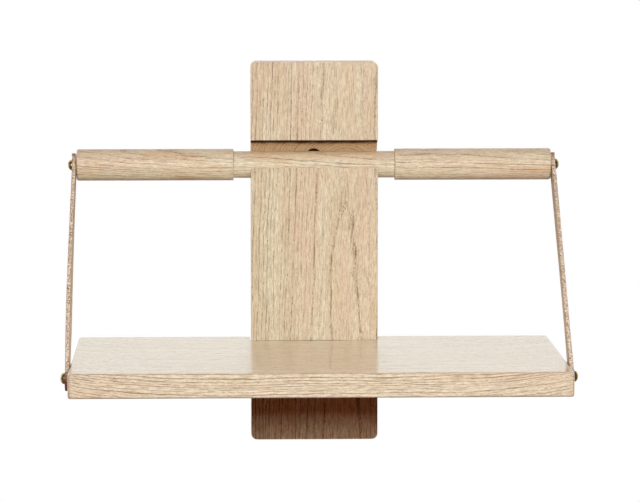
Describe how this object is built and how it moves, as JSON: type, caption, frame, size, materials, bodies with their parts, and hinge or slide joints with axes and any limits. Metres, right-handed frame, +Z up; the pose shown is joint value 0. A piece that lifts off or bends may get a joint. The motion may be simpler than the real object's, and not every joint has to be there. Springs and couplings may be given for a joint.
{
  "type": "hanging wall shelf",
  "caption": "Small wooden wall shelf carried by flat leather straps from a turned rod that drops into a hooked slot in a screwed-on back board.",
  "frame": {"origin": "middle of the back board's rear face, on the wall", "axes": "+X to the right along the wall, +Y into the wall, +Z up"},
  "size_m": [0.4148, 0.22, 0.32],
  "materials": {
    "board_oak": "oiled pale oak, planed, edges eased",
    "rod_oak": "oiled pale oak, turned and sanded",
    "leather": "natural vegetable-tanned strap leather with raw edges",
    "brass": "plain turned brass, slightly dulled"
  },
  "bodies": {
    "wall_board": {"back_board": "board_oak"},
    "hanging_set": {"hanging_rod": "rod_oak", "shelf_board": "board_oak", "strap_left": "leather", "strap_right": "leather", "screw_upper_left": "brass", "screw_upper_right": "brass", "screw_lower_left": "brass", "screw_lower_right": "brass"}
  },
  "joints": [
    {"name": "shelf_swing", "type": "hinge", "parent": "wall_board", "child": "hanging_set", "pos_m": [0, -0.0156, 0.073], "axis": [-1, 0, 0], "range_deg": [0, 60]}
  ]
}
